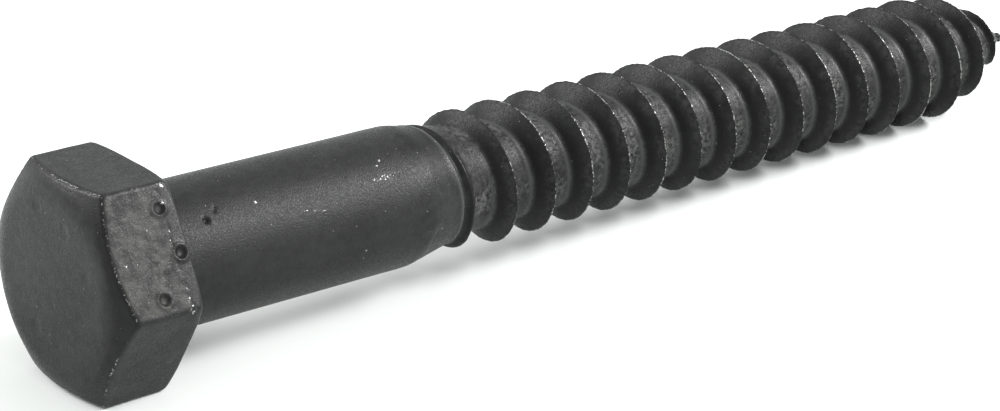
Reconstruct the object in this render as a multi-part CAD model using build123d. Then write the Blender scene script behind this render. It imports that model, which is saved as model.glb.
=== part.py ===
from build123d import *

import math
import os

# Hexagon-head wood screw (coach screw), nominal size 16 mm. The real screw is one steel forging, so the
# nodes are its functional regions, and each meets its neighbour face to face with no overlap.
# Frame, in millimetres: the origin is the centre of the bearing face under the head, +X runs along
# the axis to the point, +Z is up, and one flat of the hexagon faces straight down.

# Head
WIDTH_ACROSS_FLATS = 24.0
HEAD_HEIGHT = 10.1
CROWN_RADIUS = 10.5  # flat circle on the end of the head, inside the crown chamfer
CROWN_SLOPE = 29.0  # degrees between the crown chamfer and the end face
CORNER_ROUNDING = 0.8  # the six edges that run along the axis
BEARING_EDGE_ROUNDING = 0.5  # the rim of the bearing face

# Shank, and the taper from it down to the thread's core
SHANK_RADIUS = 8.1
SHANK_LENGTH = 34.5
UNDERHEAD_FILLET = 0.6
SHANK_ROOT_DEPTH = 1.0  # how far the shank reaches into the head, so that the bearing face is a ring
CORE_RADIUS = 6.0
TAPER_LENGTH = 10.5

# Point
POINT_START = 119.7  # where the core begins to narrow
TIP_X = 138.7
TIP_RADIUS = 0.3
POINT_BELLY = 1.1  # how far the core's outline bulges outside a straight cone, midway

# Thread, right-handed. Turns are counted from the first full crest on top (+Z) of the screw.
PITCH = 5.8
THREAD_RADIUS = 8.2
FIRST_CREST_X = 45.1
CREST_WIDTH = 0.25
HEAD_FLANK = 38.0  # degrees from the radial plane, on the side that faces the head
POINT_FLANK = 30.0  # degrees from the radial plane, on the side that faces the point
RUN_IN_TURN = -1.1  # the ridge comes out of the taper here,
RISE_TURN = -0.9  # begins to rise here
RISE_TURNS = 0.95  # and is at its full height this much further on
RUN_IN_RADIUS = 7.35
CREST_FALL_X = 121.7  # from here the crest curves in towards the tip
POINT_CURVE = 1.8  # how it curves in: 1 is a cone, 2 a parabola
RUN_OUT_X = 136.9  # the ridge dies out here
STEPS_PER_STRETCH = 40  # points on each stretch of about one turn
TANGENT_STEP = 0.001  # turns
FOOT_ROUNDS = 12  # steps that close in on where a flank meets the taper, the core or the point
LEAST_FOOT_RADIUS = 0.05
SPARE = 1.0  # how far a cutting outline reaches past the hexagon's corners
ROOT_CLEARANCE = 0.002  # the straight ridge's foot stands this far off the core, so that they only touch
POINT_RIDGE_DEPTH = 0.4  # the point's ridge is first drawn this far into the core, then cut back to it

TAPER_END = SHANK_LENGTH + TAPER_LENGTH
FOOT_RADIUS = SHANK_RADIUS + UNDERHEAD_FILLET
FROM_ITS_END = (Align.CENTER, Align.CENTER, Align.MIN)


def at(x, radius, degrees=90.0):
    """A point at this distance from the axis, degrees being counted from +Y towards +Z."""
    angle = math.radians(degrees)
    return Vector(x, radius * math.cos(angle), radius * math.sin(angle))


def plane_at(x):
    """Plane square to the axis at x. Its own X is world Y."""
    return Plane(origin=(x, 0, 0), x_dir=(0, 1, 0), z_dir=(1, 0, 0))


def turned(outline):
    """The solid that this closed outline, a list of edges in the XZ plane, sweeps about the axis."""
    return revolve(Face(Wire(outline)), Axis.X, 360)


def hex_head():
    """Hexagonal prism with softly rounded edges and a conical crown chamfer."""
    corner_radius = WIDTH_ACROSS_FLATS / math.sqrt(3)
    hexagon = RegularPolygon(corner_radius, 6)  # two corners on the sketch's own X
    hexagon = fillet(hexagon.vertices(), CORNER_ROUNDING)
    # The plane's X is world Y, so two corners lie sideways and a flat faces down.
    prism = extrude(plane_at(-HEAD_HEIGHT) * hexagon, HEAD_HEIGHT)
    prism = fillet(prism.faces().sort_by(Axis.X)[-1].edges(), BEARING_EDGE_ROUNDING)
    reach = corner_radius + SPARE
    crown_drop = (reach - CROWN_RADIUS) * math.tan(math.radians(CROWN_SLOPE))
    outline = Wire.make_polygon(
        [
            at(-HEAD_HEIGHT, 0),
            at(-HEAD_HEIGHT, CROWN_RADIUS),
            at(-HEAD_HEIGHT + crown_drop, reach),
            at(0, reach),
            at(0, 0),
        ],
        close=True,
    )
    head = prism & revolve(Face(outline), Axis.X, 360)
    root = Cylinder(FOOT_RADIUS, SHANK_ROOT_DEPTH, align=FROM_ITS_END)
    return head - plane_at(-SHANK_ROOT_DEPTH) * root


def shank():
    """Plain round shank, with the fillet that runs out on the bearing face."""
    foot_point = at(0, FOOT_RADIUS)
    fillet_end = at(UNDERHEAD_FILLET, SHANK_RADIUS)
    bend = UNDERHEAD_FILLET * (1 - math.sqrt(0.5))
    bend_point = at(bend, SHANK_RADIUS + bend)
    return turned(
        [
            Edge.make_line(at(-SHANK_ROOT_DEPTH, 0), at(-SHANK_ROOT_DEPTH, FOOT_RADIUS)),
            Edge.make_line(at(-SHANK_ROOT_DEPTH, FOOT_RADIUS), foot_point),
            Edge.make_three_point_arc(foot_point, bend_point, fillet_end),
            Edge.make_line(fillet_end, at(SHANK_LENGTH, SHANK_RADIUS)),
            Edge.make_line(at(SHANK_LENGTH, SHANK_RADIUS), at(SHANK_LENGTH, 0)),
            Edge.make_line(at(SHANK_LENGTH, 0), at(-SHANK_ROOT_DEPTH, 0)),
        ]
    )


def shank_taper():
    """Cone between the full shank and the thread's core."""
    cone = Cone(SHANK_RADIUS, CORE_RADIUS, TAPER_LENGTH, align=FROM_ITS_END)
    return plane_at(SHANK_LENGTH) * cone


def thread_core():
    """Straight core under the thread."""
    cylinder = Cylinder(CORE_RADIUS, POINT_START - TAPER_END, align=FROM_ITS_END)
    return plane_at(TAPER_END) * cylinder


def point_arc():
    """The curved outline of the point, from the core's full radius to the tip."""
    middle = at(
        (POINT_START + TIP_X) / 2 + POINT_BELLY, (CORE_RADIUS + TIP_RADIUS) / 2 + POINT_BELLY
    )
    return Edge.make_three_point_arc(at(POINT_START, CORE_RADIUS), middle, at(TIP_X, TIP_RADIUS))


def gimlet_point():
    """Pointed end of the core."""
    return turned(
        [
            Edge.make_line(at(POINT_START, 0), at(POINT_START, CORE_RADIUS)),
            point_arc(),
            Edge.make_line(at(TIP_X, TIP_RADIUS), at(TIP_X, 0)),
            Edge.make_line(at(TIP_X, 0), at(POINT_START, 0)),
        ]
    )


def core_radius(x):
    """Radius of the taper, the core or the point at x, with the point taken as a straight cone."""
    if x < TAPER_END:
        return SHANK_RADIUS - (SHANK_RADIUS - CORE_RADIUS) * (x - SHANK_LENGTH) / TAPER_LENGTH
    if x < POINT_START:
        return CORE_RADIUS
    share = (x - POINT_START) / (TIP_X - POINT_START)
    return CORE_RADIUS + (TIP_RADIUS - CORE_RADIUS) * share


def crest_radius(turn):
    """Radius of the crest: it climbs out of the taper, runs level, then curves in to the tip."""
    x = FIRST_CREST_X + PITCH * turn
    if x > CREST_FALL_X:
        share = (x - CREST_FALL_X) / (TIP_X - CREST_FALL_X)
        return THREAD_RADIUS * (1 - share**POINT_CURVE)
    share = min(max((turn - RISE_TURN) / RISE_TURNS, 0), 1)
    smooth = share * share * (3 - 2 * share)
    return RUN_IN_RADIUS + (THREAD_RADIUS - RUN_IN_RADIUS) * smooth


def foot(crest_x, crest, flank_degrees, side, lift):
    """Where a flank, going down from the crest, ends at the core. side is -1 or 1."""
    slope = math.tan(math.radians(flank_degrees))
    x = crest_x
    for _ in range(FOOT_ROUNDS):
        radius = max(core_radius(x) + lift, LEAST_FOOT_RADIUS)
        x = crest_x + side * (CREST_WIDTH / 2 + (crest - radius) * slope)
    return x, radius


def ridge_section(turn, lift):
    """The four corners of the ridge's section at this turn, as points in space."""
    crest_x = FIRST_CREST_X + PITCH * turn
    crest = crest_radius(turn)
    corners = [
        foot(crest_x, crest, HEAD_FLANK, -1, lift),
        (crest_x - CREST_WIDTH / 2, crest),
        (crest_x + CREST_WIDTH / 2, crest),
        foot(crest_x, crest, POINT_FLANK, 1, lift),
    ]
    return [at(x, radius, 90 + 360 * turn) for x, radius in corners]


def rail(corner, first_turn, last_turn, lift):
    """Smooth curve that one corner of the section follows over a stretch of the ridge."""
    turns = [
        first_turn + (last_turn - first_turn) * i / STEPS_PER_STRETCH
        for i in range(STEPS_PER_STRETCH + 1)
    ]
    points = [ridge_section(turn, lift)[corner] for turn in turns]
    nudge = TANGENT_STEP
    tangents = [
        (ridge_section(turn + nudge, lift)[corner] - ridge_section(turn - nudge, lift)[corner])
        / (2 * nudge)
        for turn in (first_turn, last_turn)
    ]
    return Edge.make_spline(points, tangents=tangents, parameters=turns, scale=False)


def ridge(first_turn, last_turn, lift):
    """Helical ridge between two turns, as one closed solid of ruled faces, in stretches of about
    one turn. lift raises its foot off the core, or sinks it when negative."""
    stretches = math.ceil(last_turn - first_turn)
    stops = [first_turn + (last_turn - first_turn) * i / stretches for i in range(stretches + 1)]
    faces = []
    for start, stop in zip(stops, stops[1:]):
        rails = [rail(corner, start, stop, lift) for corner in range(4)]
        faces += [Face.make_surface_from_curves(rails[i], rails[(i + 1) % 4]) for i in range(4)]
    for turn in (first_turn, last_turn):
        faces.append(Face(Wire.make_polygon(ridge_section(turn, lift), close=True)))
    return Solid(Shell(faces))


def turn_at(x):
    """The turn at which the crest reaches x."""
    return (x - FIRST_CREST_X) / PITCH


def last_straight_turn():
    """The last turn at which the whole foot of the ridge still stands on the straight core."""
    slope = math.tan(math.radians(POINT_FLANK))
    return turn_at(POINT_START - CREST_WIDTH / 2 - (THREAD_RADIUS - CORE_RADIUS) * slope)


def build():
    """All nodes, by name."""
    core = thread_core()
    point = gimlet_point()
    split = last_straight_turn()
    point_ridge = ridge(split, turn_at(RUN_OUT_X), -POINT_RIDGE_DEPTH)
    return {
        "hex_head": hex_head(),
        "shank": shank(),
        "shank_taper": shank_taper(),
        "thread_core": core,
        "wood_thread": ridge(RUN_IN_TURN, split, ROOT_CLEARANCE),
        "gimlet_point": point,
        "point_thread": point_ridge - (core + point),
    }


os.makedirs("parts", exist_ok=True)
for name, shape in build().items():
    export_step(shape, f"parts/{name}.step")
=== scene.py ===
import math

import bpy
import numpy as np
from mathutils import Matrix, Vector, noise


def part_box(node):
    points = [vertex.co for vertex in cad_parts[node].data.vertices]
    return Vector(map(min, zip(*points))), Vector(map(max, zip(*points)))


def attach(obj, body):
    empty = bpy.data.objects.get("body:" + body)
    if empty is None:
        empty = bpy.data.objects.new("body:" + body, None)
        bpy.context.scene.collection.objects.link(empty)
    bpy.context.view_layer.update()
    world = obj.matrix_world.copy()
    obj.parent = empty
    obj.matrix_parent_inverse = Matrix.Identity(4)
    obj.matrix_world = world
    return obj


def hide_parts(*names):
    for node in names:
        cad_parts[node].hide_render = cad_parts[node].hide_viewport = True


# A black-coated hexagon-head wood screw lying on a pale floor. The visible pieces are finer meshes
# of the CAD nodes that they replace. Shapes are worked out in millimetres in the row's frame (X is
# the axis, the origin is the middle of the bearing face, +X runs to the point, +Z is up) and are
# written to the meshes in metres. Angles about the axis count from +Y towards +Z.

MM = 0.001

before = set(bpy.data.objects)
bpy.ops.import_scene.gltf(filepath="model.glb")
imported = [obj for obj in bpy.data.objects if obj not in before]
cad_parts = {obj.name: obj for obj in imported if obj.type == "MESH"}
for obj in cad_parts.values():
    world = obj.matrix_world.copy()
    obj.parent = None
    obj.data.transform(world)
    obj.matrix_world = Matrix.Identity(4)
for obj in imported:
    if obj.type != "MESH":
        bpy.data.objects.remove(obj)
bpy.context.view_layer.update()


def box_mm(node):
    """Lowest and highest corner of a CAD node, in millimetres."""
    low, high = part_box(node)
    return np.array(low) / MM, np.array(high) / MM


head_low, head_high = box_mm("hex_head")
shank_low, shank_high = box_mm("shank")
taper_high = box_mm("shank_taper")[1]
core_high = box_mm("thread_core")[1]
ridge_high = box_mm("wood_thread")[1]
point_low, point_high = box_mm("gimlet_point")

# Head
HALF_FLATS = head_high[2]
CROWN_X = head_low[0]
CROWN_RADIUS = 10.5
CROWN_SLOPE = math.tan(math.radians(29))
CROWN_EDGE_ROUNDING = 1.3
CHAMFER_EDGE_ROUNDING = 0.55
BEARING_EDGE_ROUNDING = 0.45
CORNER_UNDERFILL = 0.7  # the forging is rounder by this much at the corners of the bearing edge
CORNER_POWER = 90  # a higher power gives sharper corners between the flats
COLUMNS_PER_FLAT = 110
CORNER_CROWDING = 1.5  # above 1, the columns stand closer together in the middle of a flat
HEAD_ROWS = (30, 8, 44, 8, 2)  # along the end face, chamfer, flat, bearing face and socket
ROWS_PER_BEND = 7
CENTRE_RADIUS = 0.3  # of the small cap in the middle of the end face

# The front flat, which looks up and to the side: its outward direction and the one across it
FRONT_OUT = np.array([0, -math.sin(math.radians(60)), math.cos(math.radians(60))])
FRONT_ACROSS = np.array([0, -math.cos(math.radians(60)), -math.sin(math.radians(60))])
# Round dents on it: distance along the axis, across the flat, radius and depth
FRONT_DENTS = ((-2.2, -4.2, 0.70, 0.22), (-1.2, 0.7, 0.75, 0.26), (-4.6, 5.0, 0.70, 0.20))
DENT_RIM = 0.6  # height of the rim around a dent, as a share of its depth
# Bare chips on it: distance along the axis, across the flat, and radius
FRONT_CHIPS = (
    (-1.3, -6.6, 0.55),
    (-1.6, -4.6, 0.35),
    (-7.7, 0.7, 0.35),
    (-1.6, 6.8, 0.75),
    (-1.9, 5.6, 0.4),
)
RIM_X = -1.85  # a bare line runs across it here, and its scale ends
# Shallow dents on the end face: y, z, radius and depth
FACE_DENTS = (
    (2.7, 7.8, 0.9, 0.05),
    (-2.6, 6.9, 1.0, 0.05),
    (-6.7, 3.0, 0.8, 0.04),
    (3.2, -5.8, 1.2, 0.05),
)

# Shank, taper and core
SHANK_RADIUS = taper_high[2]
FOOT_RADIUS = shank_high[2]
SOCKET_RADIUS = FOOT_RADIUS - 0.05  # hole in the head's mesh that the shank's root fills
SOCKET_EDGE_ROUNDING = 0.02
CORE_RADIUS = core_high[2]
ROOT_X = shank_low[0]  # the shank's root, inside the head
TAPER_START = shank_high[0]
TAPER_END = taper_high[0]
TAPER_SKEW = 0.8  # the taper starts this much later on top and earlier underneath
TAPER_START_ROUNDING = 0.1
TAPER_END_ROUNDING = 0.3
POINT_START = point_low[0] - 1.5  # the core narrows from a little before the CAD's point
TIP_X = point_high[0]

# Thread
PITCH = 5.8
FIRST_CREST_X = 45.1
THREAD_RADIUS = ridge_high[1]
CREST_FALL_X = 121.7
POINT_CURVE = 1.8  # how the crest curves in to the tip: 1 is a cone, 2 a parabola
HEAD_FLANK_SLOPE = 1 / math.tan(math.radians(38))
POINT_FLANK_SLOPE = 1 / math.tan(math.radians(30))
RUN_IN_TURN = -1.1  # the ridge comes out of the taper here,
RISE_TURN = -0.9  # begins to rise here
RISE_TURNS = 0.95  # and is at its full height this much further on
RUN_IN_RADIUS = 7.35
CREST_ROUNDING = 0.05
RUN_IN_ROUNDING = 0.3  # the crest is this much rounder where it begins
ROOT_FILLET = 0.5
GROOVE_OFFSET = 0.65  # a narrow groove runs this far before the crest as it comes out of the taper
GROOVE_WIDTH = 0.32
GROOVE_DEPTH = 0.35
SHOULDER_OFFSET = 1.35  # and the metal that it displaced stands up before it
SHOULDER_HEIGHT = 0.14
LIP_OFFSET = 2.05  # a low lip runs before the foot of the ridge, all along it
LIP_WIDTH = 0.28
LIP_HEIGHT = 0.13
POINT_END_OF_LIP = 130.0  # it fades out here, on the point
POINT_FULLNESS = 2.2  # of the core's point: 1 is a cone
BURR_X = 138.05  # middle of the small burr on the tip
BURR_RADIUS = 0.7

# Small marks on the shank: (x, degrees) and a radius, and for pits a depth
SHANK_PITS = (((5.4, 135), 0.52, 0.34), ((6.8, 129), 0.34, 0.18), ((7.1, 126), 0.30, 0.15))
SHANK_CHIPS = (
    ((12.0, 131), 0.42),
    ((12.9, 150), 0.26),
    ((29.3, 122), 0.45),
    ((28.7, 126), 0.40),
    ((31.0, 118), 0.25),
)
SHANK_SCRATCH = ((17.0, 146), (20.2, 151))
RUBBED_PLACE = (38.5, 205)  # a round patch of the taper that was rubbed slightly flat
RUBBED_RADIUS = 4.0
SHANK_SCUFF = ((29.0, 137), 4.6, 1.2)  # middle, length and width of an area of fine bare scuffs

GRAIN_MM = 0.18  # of the coating

# How far wear and forging move the surface
WAVE_DEPTH = 0.03
RIPPLE_DEPTH = 0.012
CREST_WEAR = 0.07
ROOT_GRAIN = 0.05
BURR_TEAR = 0.25
RUBBED_DEPTH = 0.08
SHANK_WAVE_DEPTH = 0.015
HEAD_WAVE_DEPTH = 0.05
HEAD_RIPPLE_DEPTH = 0.015
SCALE_DEPTH = 0.06
CHIP_DEPTH = 0.12

COLUMNS = 208  # around the axis
SHANK_ROWS = 170
THREAD_CUT_X = 32.7  # the shank's mesh ends and the thread's begins here, on the plain cylinder
POINT_CUT_TURN = 13  # the thread's mesh ends and the point's begins with this turn


def smoothstep(low, high, value):
    """Smooth change from 0 to 1 as the value goes from low to high."""
    share = np.clip((value - low) / (high - low), 0, 1)
    return share * share * (3 - 2 * share)


def smooth_max(a, b, width):
    """The larger of a and b, with a rounded change over width."""
    return np.maximum(a, b) + np.maximum(width - np.abs(a - b), 0) ** 2 / (4 * width)


def field(points, size, seed=0.0):
    """Smooth noise from about -1 to 1 at each point, with features of this size in millimetres."""
    shift = Vector((seed * 17.3, seed * 5.1, seed * 9.7))
    return np.array([noise.noise(Vector(p) / size + shift) for p in points.reshape(-1, 3)])


def around(x, radius, angle):
    """Points at this distance from the axis."""
    return np.stack([x, radius * np.cos(angle), radius * np.sin(angle)], axis=-1)


# --- Meshes ---------------------------------------------------------------------------------------


def vertex_normals(points, faces):
    """Area-weighted normals of a quad mesh."""
    a, b, c, d = (points[faces[:, i]] for i in range(4))
    face_normals = np.cross(c - a, d - b)
    normals = np.zeros_like(points)
    for i in range(4):
        np.add.at(normals, faces[:, i], face_normals)
    length = np.linalg.norm(normals, axis=1, keepdims=True)
    return normals / np.maximum(length, 1e-12)


def make_piece(name, points, faces, fans, marks, normals, nodes, material):
    """One closed mesh. fans are (loop of vertices, middle point) pairs that cap the open ends, and
    marks are named numbers from 0 to 1 on the vertices, which the material reads."""
    used = np.unique(faces)
    number = np.full(len(points), -1)
    number[used] = np.arange(len(used))
    quads = number[faces]
    coords = points[used]
    polygons = []
    for quad in quads.tolist():
        polygons.append([v for i, v in enumerate(quad) if v != quad[i - 1]])
    polygons = [p for p in polygons if len(set(p)) == len(p) and len(p) > 2]
    caps = []
    for loop, middle in fans:
        caps.append(middle)
        centre = len(used) + len(caps) - 1
        loop = number[np.array(loop)].tolist()
        polygons += [[p, q, centre] for p, q in zip(loop, loop[1:] + loop[:1]) if p != q]
    everything = np.vstack([coords] + [np.array([c]) for c in caps])
    mesh = bpy.data.meshes.new(name)
    mesh.from_pydata((everything * MM).tolist(), [], polygons)
    mesh.validate()
    for label, values in marks.items():
        attribute = mesh.attributes.new(label, "FLOAT", "POINT")
        padded = np.concatenate([values[used], np.zeros(len(caps))])
        attribute.data.foreach_set("value", padded.astype(np.float32))
    mesh.shade_smooth()
    if normals is not None:
        fill = np.tile((1.0, 0.0, 0.0), (len(caps), 1))
        mesh.normals_split_custom_set_from_vertices(np.vstack([normals[used], fill]).tolist())
    piece = bpy.data.objects.new(name, mesh)
    bpy.context.scene.collection.objects.link(piece)
    mesh.materials.append(material)
    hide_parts(*nodes)
    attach(piece, "root")


def grid_faces(rows, columns):
    """Quads of a grid that closes on itself around the axis, numbered row by row."""
    row, column = np.meshgrid(np.arange(rows - 1), np.arange(columns), indexing="ij")
    here = row * columns + column
    beside = row * columns + (column + 1) % columns
    quads = np.stack([here, beside, beside + columns, here + columns], axis=-1)
    return quads.reshape(-1, 4)


# --- Shape of the shank, thread and point ---------------------------------------------------------


def crest_radius(turn):
    """Radius of the crest: it rises out of the taper, runs level, then curves in to the tip."""
    x = FIRST_CREST_X + PITCH * turn
    risen = smoothstep(0, RISE_TURNS, turn - RISE_TURN)
    rise = RUN_IN_RADIUS + (THREAD_RADIUS - RUN_IN_RADIUS) * risen
    share = np.clip((x - CREST_FALL_X) / (TIP_X - CREST_FALL_X), 0, 1.2)
    fall = THREAD_RADIUS * (1 - share**POINT_CURVE)
    return np.where(x > CREST_FALL_X, fall, np.where(turn < RUN_IN_TURN, 0, rise))


def core_radius(x, angle):
    """Radius of the surface without the ridge: shank, taper, core, point and the tip's burr."""
    start = TAPER_START + TAPER_SKEW * np.sin(angle)
    slope = (SHANK_RADIUS - CORE_RADIUS) / (TAPER_END - TAPER_START)
    cone = -smooth_max(-SHANK_RADIUS, slope * (x - start) - SHANK_RADIUS, TAPER_START_ROUNDING)
    straight = smooth_max(cone, np.full_like(x, CORE_RADIUS), TAPER_END_ROUNDING)
    share = np.clip((x - POINT_START) / (TIP_X - POINT_START), 0, 1)
    burr = BURR_RADIUS * np.sqrt(np.clip(1 - ((x - BURR_X) / (TIP_X - BURR_X)) ** 2, 0, 1))
    return np.maximum(straight * (1 - share**POINT_FULLNESS), burr)


def thread_radius(x, angle):
    """Radius of the surface, with the ridge, its blunt run-in and its rounded root."""
    part_turn = angle / (2 * math.pi) - 0.25
    nearest = np.round((x - FIRST_CREST_X) / PITCH - part_turn)
    core = core_radius(x, angle)
    ridge = np.full_like(x, -10.0)
    for step in (-1, 0, 1):
        turn = nearest + step + part_turn
        offset = x - (FIRST_CREST_X + PITCH * turn)
        crest = crest_radius(turn)
        blunt = CREST_ROUNDING + RUN_IN_ROUNDING * (1 - smoothstep(RISE_TURN, -0.1, turn))
        down = np.sqrt(offset**2 + blunt**2) - blunt
        slope = np.where(offset < 0, HEAD_FLANK_SLOPE, POINT_FLANK_SLOPE)
        ridge = np.maximum(ridge, crest - slope * down)
        core = core - GROOVE_DEPTH * run_in_share(offset + GROOVE_OFFSET, turn)
        core = core + SHOULDER_HEIGHT * run_in_share(offset + SHOULDER_OFFSET, turn)
        core = core + LIP_HEIGHT * lip_share(offset, turn, x)
    fillet = ROOT_FILLET * np.clip(core / CORE_RADIUS, 0.15, 1)
    return smooth_max(core, ridge, fillet)


def run_in_share(distance, turn):
    """1 along the middle of a line that follows the ridge where it comes out of the taper."""
    along = smoothstep(-1.15, -0.95, turn) * (1 - smoothstep(-0.5, -0.25, turn))
    return along * np.exp(-((distance / GROOVE_WIDTH) ** 2))


def lip_share(offset, turn, x):
    """1 on top of the lip before the ridge's foot, 0 away from it."""
    lip = np.exp(-(((offset + LIP_OFFSET) / LIP_WIDTH) ** 2))
    return lip * smoothstep(0.0, 0.3, turn) * (1 - smoothstep(CREST_FALL_X, POINT_END_OF_LIP, x))


def crest_offset(x, angle):
    """Distance along the axis to the nearest crest, and that crest's turn."""
    part_turn = angle / (2 * math.pi) - 0.25
    turn = np.round((x - FIRST_CREST_X) / PITCH - part_turn) + part_turn
    return x - (FIRST_CREST_X + PITCH * turn), turn


def pitch_rows():
    """Distances from the crest at which each pitch is sampled, closest at the crest itself."""
    stops = (-PITCH / 2, -0.4, 0.4, PITCH / 2)
    counts = (12, 10, 10)
    stretches = zip(stops, stops[1:], counts)
    return np.concatenate([np.linspace(a, b, n, endpoint=False) for a, b, n in stretches])


def thread_and_point(material):
    """The ridged part, on a grid whose rows follow the thread, cut in two along one of its rows."""
    offsets = pitch_rows()
    rows_per_pitch = len(offsets)
    first_angle = -math.pi / 4
    angles = first_angle + 2 * math.pi * np.arange(COLUMNS + 1) / COLUMNS
    first = int(math.floor((THREAD_CUT_X - FIRST_CREST_X) / PITCH)) - 1
    last = int(math.ceil((TIP_X - FIRST_CREST_X) / PITCH)) + 2
    along = np.concatenate([FIRST_CREST_X + PITCH * k + offsets for k in range(first, last + 1)])
    rows = len(along)
    x = along[:, None] + PITCH * (angles[None, :] / (2 * math.pi) - 0.25)
    x = np.clip(x, THREAD_CUT_X, TIP_X)
    angle = np.broadcast_to(angles[None, :], x.shape)
    radius = thread_radius(x, angle)
    # The seam column at the end of each row is the same line as the first column a pitch further on.
    ids = np.arange(rows * COLUMNS).reshape(rows, COLUMNS)
    wrap = np.minimum(np.arange(rows) + rows_per_pitch, rows - 1)
    ids = np.hstack([ids, ids[wrap, :1]])
    points = around(x, radius, angle)[:, :COLUMNS].reshape(-1, 3)
    flat_x, flat_angle = x[:, :COLUMNS].ravel(), angle[:, :COLUMNS].ravel()
    offset, turn = crest_offset(flat_x, flat_angle)
    height = radius[:, :COLUMNS].ravel() - core_radius(flat_x, flat_angle)
    marks = thread_marks(points, offset, turn, height, flat_x)
    points = worn(points, marks, flat_x)
    # Rows squeezed against either end share one vertex per column.
    keep = np.arange(len(points)).reshape(rows, COLUMNS)
    for i in range(1, rows):
        same = x[i, :COLUMNS] == x[i - 1, :COLUMNS]
        keep[i, same] = keep[i - 1, same]
    keep = keep.ravel()
    tip = flat_x >= TIP_X
    keep[tip] = keep[np.argmax(tip)]
    cells = np.stack([ids[:-1, :-1], ids[:-1, 1:], ids[1:, 1:], ids[1:, :-1]], axis=-1)
    cells = keep[cells]
    whole = cells.reshape(-1, 4)
    normals = vertex_normals(points, whole)
    cut = (POINT_CUT_TURN - first) * rows_per_pitch
    ring = keep[ids[0, :COLUMNS]].tolist()
    line = keep[ids[cut, : COLUMNS + 1]].tolist()
    jog = keep[ids[cut : cut + rows_per_pitch + 1, 0]].tolist()
    loop = line + jog[-2:0:-1]
    middle = (FIRST_CREST_X + PITCH * POINT_CUT_TURN, 0.0, 0.0)
    make_piece(
        "rolled_thread",
        points,
        cells[:cut].reshape(-1, 4),
        [(ring[::-1], (THREAD_CUT_X, 0.0, 0.0)), (loop, middle)],
        marks,
        normals,
        ("shank_taper", "thread_core", "wood_thread"),
        material,
    )
    make_piece(
        "threaded_point",
        points,
        cells[cut:].reshape(-1, 4),
        [(loop[::-1], middle)],
        marks,
        normals,
        ("gimlet_point", "point_thread"),
        material,
    )


def thread_marks(points, offset, turn, height, x):
    """Where the crest is worn bare, where the root and the flank's outer half are rough, where painted
    shade darkens the flanks near the root and the torn tip, and where the lip and the shoulder are
    polished, with a painted highlight on them."""
    along_thread = smoothstep(RISE_TURN, 0.0, turn) * (1 - smoothstep(TIP_X - 1.5, TIP_X - 0.5, x))
    crest = (1 - smoothstep(0.06, 0.22, np.abs(offset))) * along_thread
    bare = crest * np.clip(0.58 + 0.16 * field(points, 5.0, 1) + 0.1 * field(points, 1.0, 7), 0, 0.75)
    on_thread = smoothstep(-1.1, -0.95, turn)
    root = (1 - smoothstep(0.1, 0.35, height)) * on_thread
    patch = smoothstep(-0.10, 0.02, field(points, 3.5, 2) + 0.25 * field(points, 0.9, 8))
    past_crest = np.maximum(smoothstep(0.0, 0.3, offset), smoothstep(-0.2, 0.1, turn))
    lip = lip_share(offset, turn, x)
    smooth_tip = 1 - smoothstep(TIP_X - 3.5, TIP_X - 2.0, x)
    rough = root * (0.25 + 0.75 * patch) * past_crest * (1 - lip) * smooth_tip
    towards_head = 1 - smoothstep(-0.25, -0.1, offset)
    outer_flank = smoothstep(0.9, 1.5, height) * towards_head * on_thread
    rough = np.maximum(rough, 0.3 * outer_flank * patch)
    # Painted shade: the flanks are darkened just above the root, where the ridges shade each other, and
    # less towards the crest; the last millimetres of the tip are darkened all over as well.
    painted_shade = smoothstep(0.12, 0.4, height) * (1 - 0.85 * smoothstep(0.6, 1.8, height)) * on_thread
    painted_shade = np.maximum(painted_shade * (1 - lip), smoothstep(TIP_X - 2.5, TIP_X - 1.5, x))
    # The lip and the shoulder are glossier, and their colour is also lightened as a painted highlight.
    polish_and_painted_highlight = np.maximum(lip, run_in_share(offset + SHOULDER_OFFSET, turn))
    return {"bare": bare, "rough": rough, "painted_shade": painted_shade, "polish_and_painted_highlight": polish_and_painted_highlight}


def worn(points, marks, x):
    """The same points with a ragged crest, a torn burr on the tip and the slight waviness of rolled
    steel. All of it goes inwards."""
    radial = points * (0, 1, 1)
    radial /= np.maximum(np.linalg.norm(radial, axis=1, keepdims=True), 1e-9)
    wave = WAVE_DEPTH * (field(points, 6.0, 3) - 1) + RIPPLE_DEPTH * field(points, 1.2, 4)
    crest = np.clip(marks["bare"] * 2, 0, 1)
    ragged = CREST_WEAR * crest * (field(points, 0.4, 5) - 0.5)
    grain = ROOT_GRAIN * marks["rough"] * (field(points, 0.45, 6) - 0.3)
    burr = BURR_TEAR * smoothstep(TIP_X - 1.8, TIP_X - 1, x) * (field(points, 0.5, 9) - 0.2)
    burr = np.maximum(burr, -0.6 * np.linalg.norm(points[:, 1:], axis=1))
    angle = np.arctan2(points[:, 2], points[:, 1]) % (2 * math.pi)
    distance = from_place(x, angle, RUBBED_PLACE)
    rubbed = -RUBBED_DEPTH * (1 - smoothstep(0.85, 1.0, distance / RUBBED_RADIUS))
    return points + radial * (wave * fade_to_shank(x) + ragged + grain + burr + rubbed)[:, None]


def fade_to_shank(x):
    """0 where the shank's mesh meets the thread's, 1 a little further on."""
    return smoothstep(THREAD_CUT_X, THREAD_CUT_X + 2, x) * (1 - smoothstep(TIP_X - 1, TIP_X, x))


def dimple(distance, radius, depth, rim=0.0):
    """Depth of a round dent, and a raised rim around it, at this distance from its middle."""
    bowl = 1 - smoothstep(0.35 * radius, radius, distance)
    ring = np.exp(-(((distance - 1.15 * radius) / (0.3 * radius)) ** 2))
    return rim * ring - depth * bowl


def from_place(x, angle, place):
    """Distance over the shank's surface from a place given as (x, degrees)."""
    return np.hypot(x - place[0], SHANK_RADIUS * (angle - math.radians(place[1])))


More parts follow.
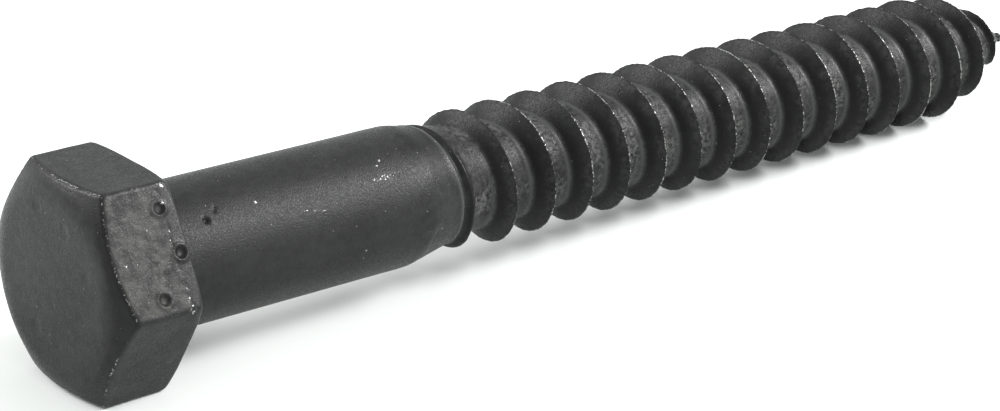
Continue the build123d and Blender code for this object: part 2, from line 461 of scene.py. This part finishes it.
def shank_wear(x, angle):
    """Where the shank is worn bare: in chips, along one scratch and in an area of fine scuffs."""
    bare = np.zeros(len(x))
    for place, chip_radius in SHANK_CHIPS:
        distance = from_place(x, angle, place)
        bare = np.maximum(bare, 0.68 * (1 - smoothstep(0.3 * chip_radius, chip_radius, distance)))
    start, end = (np.array((px, math.radians(a) * SHANK_RADIUS)) for px, a in SHANK_SCRATCH)
    here = np.stack([x, angle * SHANK_RADIUS], axis=-1)
    share = np.clip((here - start) @ (end - start) / ((end - start) @ (end - start)), 0, 1)
    off_line = np.linalg.norm(here - start - share[:, None] * (end - start), axis=1)
    bare = np.maximum(bare, 0.62 * (1 - smoothstep(0.04, 0.30, off_line)))
    (scuff_x, scuff_angle), scuff_length, scuff_width = SHANK_SCUFF
    sideways = SHANK_RADIUS * (angle - math.radians(scuff_angle)) / scuff_width
    scuffed = np.exp(-(((x - scuff_x) / scuff_length) ** 2) - sideways**2)
    return np.maximum(bare, 0.575 * scuffed)


def plain_shank(material):
    """The plain shank with its root in the head and the fillet that runs up to the bearing face."""
    fillet = FOOT_RADIUS - SHANK_RADIUS
    bend = np.linspace(0, math.pi / 2, 9)
    drop = fillet * (1 - np.sin(bend))
    straight = np.linspace(fillet, THREAD_CUT_X, SHANK_ROWS + 1)[1:]
    x = np.concatenate([[ROOT_X], fillet * (1 - np.cos(bend)), straight])
    straight_radius = np.full(SHANK_ROWS, SHANK_RADIUS)
    radius = np.concatenate([[FOOT_RADIUS], SHANK_RADIUS + drop, straight_radius])
    angles = -math.pi / 4 + 2 * math.pi * np.arange(COLUMNS) / COLUMNS
    xx, angle = np.meshgrid(x, angles, indexing="ij")
    rr = np.broadcast_to(radius[:, None], xx.shape)
    points = around(xx, rr, angle).reshape(-1, 3)
    flat_x, flat_angle = xx.ravel(), angle.ravel()
    middle = smoothstep(fillet, 2, flat_x) * (1 - smoothstep(THREAD_CUT_X - 3, THREAD_CUT_X, flat_x))
    wave = SHANK_WAVE_DEPTH * (field(points, 9.0, 3) - 1) * middle
    # Painted shade: the colour inside each pit is darkened.
    dark = np.zeros(len(points))
    for place, pit_radius, depth in SHANK_PITS:
        distance = from_place(flat_x, flat_angle, place)
        wave += dimple(distance, pit_radius, depth)
        dark = np.maximum(dark, 1 - smoothstep(0.5 * pit_radius, 1.1 * pit_radius, distance))
    points += points * (0, 1, 1) / SHANK_RADIUS * wave[:, None]
    bare = shank_wear(flat_x, flat_angle)
    faces = grid_faces(len(x), COLUMNS)
    first = list(range(COLUMNS))
    last = list(range((len(x) - 1) * COLUMNS, len(x) * COLUMNS))
    make_piece(
        "plain_shank",
        points,
        faces,
        [(first[::-1], (ROOT_X, 0.0, 0.0)), (last, (THREAD_CUT_X, 0.0, 0.0))],
        {"bare": bare, "rough": np.zeros(len(points)), "painted_shade": dark},
        vertex_normals(points, faces),
        ("shank",),
        material,
    )


# --- Head -----------------------------------------------------------------------------------------


def hexagon_radius(angle):
    """Distance from the axis to the flats, with softened corners. Corners lie at 0, 60, ... degrees."""
    total = sum(
        np.maximum(np.cos(angle - math.radians(30 + 60 * i)), 0) ** CORNER_POWER for i in range(6)
    )
    return HALF_FLATS / total ** (1 / CORNER_POWER)


def rounded_profile(corners, roundings, straights, bends):
    """A path through the corners of each column, with each inner corner cut by a round bend. corners
    is an array of (corner, column, 2)."""
    path = [corners[0]]
    for i, rounding in enumerate(roundings, start=1):
        start, end = (
            corners[i] + leg * np.minimum(rounding / np.linalg.norm(leg, axis=-1, keepdims=True), 0.48)
            for leg in (corners[i - 1] - corners[i], corners[i + 1] - corners[i])
        )
        last = path[-1]
        for t in np.linspace(0, 1, straights[i - 1] + 1)[1:-1]:
            path.append(last + (start - last) * t)
        for t in np.linspace(0, 1, bends):
            path.append(start * (1 - t) ** 2 + corners[i] * 2 * t * (1 - t) + end * t**2)
    last = path[-1]
    for t in np.linspace(0, 1, straights[-1] + 1)[1:]:
        path.append(last + (corners[-1] - last) * t)
    return np.array(path)


def forged_head(material):
    """Hexagon head: end face, crown chamfer, six flats and bearing face, with soft forged edges."""
    share = np.linspace(-1, 1, COLUMNS_PER_FLAT, endpoint=False)
    sector = np.sign(share) * np.abs(share) ** CORNER_CROWDING * 30
    angles = np.radians(np.concatenate([sector + 60 * i for i in range(6)]))
    outer = hexagon_radius(angles)
    ones = np.ones_like(angles)
    corners = np.array(
        [
            np.stack([CROWN_X * ones, CENTRE_RADIUS * ones], -1),
            np.stack([CROWN_X * ones, CROWN_RADIUS * ones], -1),
            np.stack([CROWN_X + (outer - CROWN_RADIUS) * CROWN_SLOPE, outer], -1),
            np.stack([0 * ones, outer], -1),
            np.stack([0 * ones, SOCKET_RADIUS * ones], -1),
            np.stack([ROOT_X * ones, SOCKET_RADIUS * ones], -1),
        ]
    )
    corner = ((outer - HALF_FLATS) / (outer.max() - HALF_FLATS))[:, None] ** 2
    bearing_rounding = BEARING_EDGE_ROUNDING + CORNER_UNDERFILL * corner
    roundings = (
        CROWN_EDGE_ROUNDING,
        CHAMFER_EDGE_ROUNDING,
        bearing_rounding,
        SOCKET_EDGE_ROUNDING,
    )
    path = rounded_profile(corners, roundings, HEAD_ROWS, ROWS_PER_BEND)
    x, radius = path[..., 0], path[..., 1]
    angle = np.broadcast_to(angles[None, :], x.shape)
    points = around(x, radius, angle).reshape(-1, 3)
    faces = grid_faces(len(path), len(angles))
    normals = vertex_normals(points, faces)
    marks = head_marks(points, normals)
    points = forged(points, normals, marks)
    count = len(angles)
    first = list(range(count))
    last = list(range((len(path) - 1) * count, len(path) * count))
    make_piece(
        "forged_head",
        points,
        faces,
        [(first[::-1], tuple(points[:count].mean(axis=0))), (last, (ROOT_X, 0.0, 0.0))],
        marks,
        None,
        ("hex_head",),
        material,
    )


def on_front_flat(points):
    """How far each point lies across the front flat, and how far outside it."""
    return points @ FRONT_ACROSS, points @ FRONT_OUT - HALF_FLATS


def head_marks(points, normals):
    """Where the head is worn bare at its edges and chips, where its front flat is scaly, and where
    painted shade darkens the chamfer's front-facing side and the walls of the dents."""
    x = points[:, 0]
    across, out = on_front_flat(points)
    ragged = field(points, 1.6, 11)
    front = normals @ FRONT_OUT
    past_rim = x + 0.5 * ragged - RIM_X
    scale = smoothstep(0.95, 0.995, front) * (1 - smoothstep(-0.15, 0.25, past_rim))
    scale *= 1 - smoothstep(6.1, 6.5, np.abs(across) + 0.4 * ragged)
    bend = smoothstep(0.70, 0.86, front) * (1 - smoothstep(0.95, 0.995, front))
    rim = bend * (1 - smoothstep(-3.5, -2.5, x)) * np.clip(0.50 + 0.2 * ragged, 0, 0.62)
    edge = np.exp(-((past_rim / 0.17) ** 2)) * smoothstep(0.97, 0.995, front)
    edge *= np.clip(0.60 + 0.5 * field(points, 2.5, 16), 0, 0.68)
    chips = np.zeros(len(x))
    for chip_x, chip_across, chip_radius in FRONT_CHIPS:
        distance = np.hypot(x - chip_x, across - chip_across) + 0.25 * field(points, 0.6, 17)
        chips = np.maximum(chips, 0.60 * (1 - smoothstep(0.5 * chip_radius, chip_radius, distance)))
    chips *= smoothstep(-1.0, -0.6, out)
    steep = -normals[:, 0]
    outer_edges = smoothstep(0.15, 0.4, steep) * (1 - smoothstep(0.6, 0.85, steep))
    specks = outer_edges * np.clip(0.54 + 0.2 * field(points, 2.0, 20), 0, 0.61)
    bare = np.maximum.reduce([rim, edge, chips, specks])
    # Painted shade: the chamfer is darkened where it faces the front, and a dark ring is painted on the
    # wall of each dent.
    chamfer = smoothstep(0.3, 0.6, steep) * (1 - smoothstep(0.9, 0.97, steep))
    dark = 0.8 * chamfer * smoothstep(0.15, 0.38, -normals[:, 1])
    for dent_x, dent_across, dent_radius, _ in FRONT_DENTS:
        distance = np.hypot(x - dent_x, across - dent_across)
        outline = np.exp(-(((distance - 0.8 * dent_radius) / (0.22 * dent_radius)) ** 2))
        dark = np.maximum(dark, outline * smoothstep(-1.2, -0.3, out))
    return {"bare": bare, "rough": scale, "painted_shade": dark}


def forged(points, normals, marks):
    """The same points with the unevenness, scale, dents and chips of a forging, all going inwards
    but the rims of the dents."""
    x = points[:, 0]
    across, out = on_front_flat(points)
    uneven = HEAD_WAVE_DEPTH * (field(points, 7.0, 12) - 0.9)
    uneven += HEAD_RIPPLE_DEPTH * (field(points, 1.5, 13) - 0.9)
    pitted = SCALE_DEPTH * marks["rough"] * np.minimum(field(points, 0.9, 14) - 0.1, 0)
    chipped = -CHIP_DEPTH * marks["bare"] * np.maximum(field(points, 0.5, 15) + 0.3, 0)
    dents = np.zeros(len(x))
    for dent_x, dent_across, dent_radius, depth in FRONT_DENTS:
        distance = np.hypot(x - dent_x, across - dent_across) * (1 + 0.15 * field(points, 1.0, 18))
        dents += dimple(distance, dent_radius, depth, DENT_RIM * depth)
    dents *= smoothstep(-1.2, -0.3, out)
    on_face = 1 - smoothstep(CROWN_X + 0.5, CROWN_X + 1.5, x)
    for y, z, dent_radius, depth in FACE_DENTS:
        distance = np.hypot(points[:, 1] - y, points[:, 2] - z)
        dents += dimple(distance * (1 + 0.3 * field(points, 1.2, 19)), dent_radius, depth) * on_face
    from_axis = np.linalg.norm(points[:, 1:], axis=1)
    away_from_root = smoothstep(SOCKET_RADIUS, SOCKET_RADIUS + 0.6, from_axis)
    exposed = np.maximum(away_from_root, 1 - smoothstep(CROWN_X + 2, CROWN_X + 4, x))
    return points + normals * ((uneven + pitted + chipped + dents) * exposed)[:, None]


# --- Materials ------------------------------------------------------------------------------------


class Nodes:
    """Small helper that adds nodes and links them."""

    def __init__(self, name):
        self.material = bpy.data.materials.new(name)
        self.material.use_nodes = True
        self.tree = self.material.node_tree
        self.shader = self.tree.nodes["Principled BSDF"]
        self.place = self.tree.nodes.new("ShaderNodeTexCoord").outputs["Object"]

    def put(self, socket, value):
        """Link the value to the socket if it is another socket, or set it."""
        if isinstance(value, bpy.types.NodeSocket):
            self.tree.links.new(value, socket)
        else:
            socket.default_value = value

    def noise(self, size_mm, detail, roughness):
        """Noise from 0 to 1 with features of this size."""
        node = self.tree.nodes.new("ShaderNodeTexNoise")
        node.inputs["Scale"].default_value = 1 / (size_mm * MM)
        node.inputs["Detail"].default_value = detail
        node.inputs["Roughness"].default_value = roughness
        self.put(node.inputs["Vector"], self.place)
        return node.outputs["Fac"]

    def cracks(self, size_mm):
        """Distance to the nearest crack, on cells of this size with wandering edges."""
        node = self.tree.nodes.new("ShaderNodeTexVoronoi")
        node.feature = "DISTANCE_TO_EDGE"
        node.inputs["Scale"].default_value = 1 / (size_mm * MM)
        wander = self.tree.nodes.new("ShaderNodeVectorMath")
        wander.operation = "MULTIPLY_ADD"
        noise_node = self.tree.nodes.new("ShaderNodeTexNoise")
        noise_node.inputs["Scale"].default_value = 1 / (0.5 * size_mm * MM)
        self.put(noise_node.inputs["Vector"], self.place)
        self.put(wander.inputs[0], noise_node.outputs["Color"])
        wander.inputs[1].default_value = (size_mm * MM,) * 3
        self.put(wander.inputs[2], self.place)
        self.put(node.inputs["Vector"], wander.outputs["Vector"])
        return node.outputs["Distance"]

    def mark(self, name):
        """One of the mesh's own marks, or 0 where it has none of this name."""
        node = self.tree.nodes.new("ShaderNodeAttribute")
        node.attribute_name = name
        return node.outputs["Fac"]

    def math(self, operation, a, b):
        """The sum, difference or product of two values."""
        node = self.tree.nodes.new("ShaderNodeMath")
        node.operation = operation
        self.put(node.inputs[0], a)
        self.put(node.inputs[1], b)
        return node.outputs[0]

    def ramp(self, value, low, high, to_low=0.0, to_high=1.0):
        """Smooth change from to_low to to_high as the value goes from low to high."""
        node = self.tree.nodes.new("ShaderNodeMapRange")
        node.interpolation_type = "SMOOTHSTEP"
        for name, item in (
            ("Value", value),
            ("From Min", low),
            ("From Max", high),
            ("To Min", to_low),
            ("To Max", to_high),
        ):
            self.put(node.inputs[name], item)
        return node.outputs["Result"]

    def blend(self, share, a, b):
        """Colour a where the share is 0, and b where it is 1."""
        node = self.tree.nodes.new("ShaderNodeMix")
        node.data_type = "RGBA"
        self.put(node.inputs[0], share)
        self.put(node.inputs[6], a)
        self.put(node.inputs[7], b)
        return node.outputs[2]

    def bump(self, height, distance_mm, strength=1.0, under=None):
        """Normal of a surface raised by up to this distance, over the normal of another bump."""
        node = self.tree.nodes.new("ShaderNodeBump")
        node.inputs["Distance"].default_value = distance_mm * MM
        self.put(node.inputs["Strength"], strength)
        self.put(node.inputs["Height"], height)
        if under is not None:
            self.put(node.inputs["Normal"], under)
        return node.outputs["Normal"]


def grey(value, warmth=0.0):
    """A nearly neutral colour, very slightly green as the coating is, or warmer."""
    return (value * (0.975 + warmth), value, value * (0.985 - warmth), 1.0)


def coated_steel(name, dark, light, rough_light, specular, grain_depth, scale_mm, cracking):
    """Black-coated steel: mottled and grainy, bare metal at worn edges, paler and cracked where it is
    marked rough, darkened by painted shade where that is marked, and glossier and lightened by a
    painted highlight where polish is marked. scale_mm is the size of the cracked plates, and cracking
    how much they show."""
    n = Nodes(name)
    n.shader.inputs["Specular IOR Level"].default_value = specular
    bare, rough, painted_shade = n.mark("bare"), n.mark("rough"), n.mark("painted_shade")
    polish_and_painted_highlight = n.mark("polish_and_painted_highlight")
    mottle = n.noise(1.1, 5.0, 0.6)
    cloud = n.noise(7.0, 3.0, 0.5)
    grain = n.noise(GRAIN_MM, 3.0, 0.7)
    crack = n.ramp(n.cracks(scale_mm), 0.0, 0.07)
    tone = n.math("ADD", n.math("MULTIPLY", mottle, 0.6), n.math("MULTIPLY", cloud, 0.4))
    colour = n.blend(n.ramp(tone, 0.35, 0.65), dark, light)
    patchy = n.math("MULTIPLY", rough, n.ramp(n.noise(scale_mm, 5.0, 0.6), 0.36, 0.62))
    colour = n.blend(patchy, colour, rough_light)
    # Painted shade: marked places are darkened nearly to black. Painted highlight: the polished lip and
    # shoulder are lightened.
    colour = n.blend(n.math("MULTIPLY", painted_shade, 0.85), colour, grey(0.003))
    colour = n.blend(n.math("MULTIPLY", polish_and_painted_highlight, 0.8), colour, grey(0.045))
    cracked = n.math("MULTIPLY", rough, n.math("SUBTRACT", 1.0, crack))
    colour = n.blend(n.math("MULTIPLY", cracked, cracking), colour, grey(0.004))
    speck = n.ramp(n.noise(0.3, 1.0, 0.4), 0.79, 0.83)
    colour = n.blend(n.math("MULTIPLY", speck, 0.6), colour, grey(0.35, 0.03))
    worn_share = n.math("ADD", bare, n.math("MULTIPLY", n.noise(0.28, 3.0, 0.7), 0.9))
    metal = n.ramp(worn_share, 1.02, 1.14)
    colour = n.blend(metal, colour, grey(0.30, 0.02))
    n.put(n.shader.inputs["Base Color"], colour)
    n.put(n.shader.inputs["Metallic"], metal)
    roughness = n.ramp(grain, 0.4, 0.6, 0.30, 0.54)
    roughness = n.math("ADD", roughness, n.math("MULTIPLY", rough, 0.08))
    roughness = n.math("SUBTRACT", roughness, n.math("MULTIPLY", polish_and_painted_highlight, 0.12))
    n.put(n.shader.inputs["Roughness"], roughness)
    fine = n.bump(grain, grain_depth)
    pits = n.bump(n.ramp(n.noise(0.5, 2.0, 0.5), 0.30, 0.42), 0.03, 0.35, fine)
    coarse = n.bump(n.noise(0.35, 3.0, 0.7), 0.05, n.math("MULTIPLY", rough, 0.8), pits)
    open_crack = n.math("MULTIPLY", rough, cracking)
    n.put(n.shader.inputs["Normal"], n.bump(crack, 0.04, open_crack, coarse))
    return n.material


def floor_material():
    """Matt pale paper, very slightly cloudy."""
    n = Nodes("pale_floor")
    tone = n.noise(40.0, 2.0, 0.5)
    n.put(n.shader.inputs["Base Color"], n.blend(tone, grey(0.60), grey(0.63)))
    n.shader.inputs["Roughness"].default_value = 0.8
    return n.material


# --- Floor, light and camera ----------------------------------------------------------------------

MIDDLE = Vector((0.05, 0.0, 0.0))


def lay_floor():
    """Pale plane, in metres, that touches the head's lower flat and the thread's last full turn."""
    slope = (HALF_FLATS - THREAD_RADIUS) / CREST_FALL_X
    far = 3.0
    corners = ((-far, -far), (far, -far), (far, far), (-far, far))
    mesh = bpy.data.meshes.new("floor")
    points = [(x, y, slope * x - HALF_FLATS * MM) for x, y in corners]
    mesh.from_pydata(points, [], [(0, 1, 2, 3)])
    mesh.materials.append(floor_material())
    floor = bpy.data.objects.new("floor", mesh)
    bpy.context.scene.collection.objects.link(floor)


def area_light(name, direction, distance, size, power):
    """Soft lamp that shines at the screw's middle from this direction, in metres and watts."""
    lamp = bpy.data.lights.new(name, "AREA")
    lamp.shape = "RECTANGLE"
    lamp.size, lamp.size_y = size
    lamp.energy = power
    light = bpy.data.objects.new(name, lamp)
    way = Vector(direction).normalized()
    light.location = MIDDLE + way * distance
    light.rotation_euler = way.to_track_quat("Z", "Y").to_euler()
    bpy.context.scene.collection.objects.link(light)


def light_scene():
    """White surroundings, a key lamp above the point's end and a weaker one behind the head."""
    world = bpy.data.worlds.new("studio")
    world.use_nodes = True
    background = world.node_tree.nodes["Background"]
    background.inputs["Color"].default_value = grey(1.0)
    background.inputs["Strength"].default_value = 1.05
    bpy.context.scene.world = world
    area_light("key", (0.60, -0.51, 0.63), distance=0.7, size=(0.35, 0.25), power=10.3)
    area_light("back", (-0.60, 0.57, 0.56), distance=1.0, size=(0.5, 0.5), power=12.5)


def place_camera():
    """Long lens, looking down at the head from its left, with the point running away to the right."""
    target = Vector((0.0510, 0.0, -0.0048))
    distance = 0.3402
    forward = Vector((0.60794, 0.70132, -0.37224)).normalized()
    roll = math.radians(2.62)
    lens = 104.5
    data = bpy.data.cameras.new("camera")
    data.lens = lens
    data.sensor_width = 36.0
    data.clip_start = 0.01
    camera = bpy.data.objects.new("camera", data)
    turn = forward.to_track_quat("-Z", "Y").to_matrix().to_4x4()
    camera.matrix_world = (
        Matrix.Translation(target - forward * distance) @ turn @ Matrix.Rotation(roll, 4, "Z")
    )
    bpy.context.scene.collection.objects.link(camera)
    bpy.context.scene.camera = camera


bpy.context.scene.view_settings.view_transform = "Standard"
place_camera()
light_scene()
lay_floor()
forged_head(
    coated_steel(
        "head_steel",
        dark=grey(0.008),
        light=grey(0.017),
        rough_light=grey(0.037, 0.03),
        specular=0.165,
        grain_depth=0.02,
        scale_mm=1.6,
        cracking=0.2,
    )
)
plain_shank(
    coated_steel(
        "shank_steel",
        dark=grey(0.006),
        light=grey(0.012),
        rough_light=grey(0.060),
        specular=0.18,
        grain_depth=0.055,
        scale_mm=0.9,
        cracking=0.0,
    )
)
thread_and_point(
    coated_steel(
        "thread_steel",
        dark=grey(0.006),
        light=grey(0.016),
        rough_light=grey(0.060, 0.01),
        specular=0.14,
        grain_depth=0.035,
        scale_mm=0.55,
        cracking=0.6,
    )
)
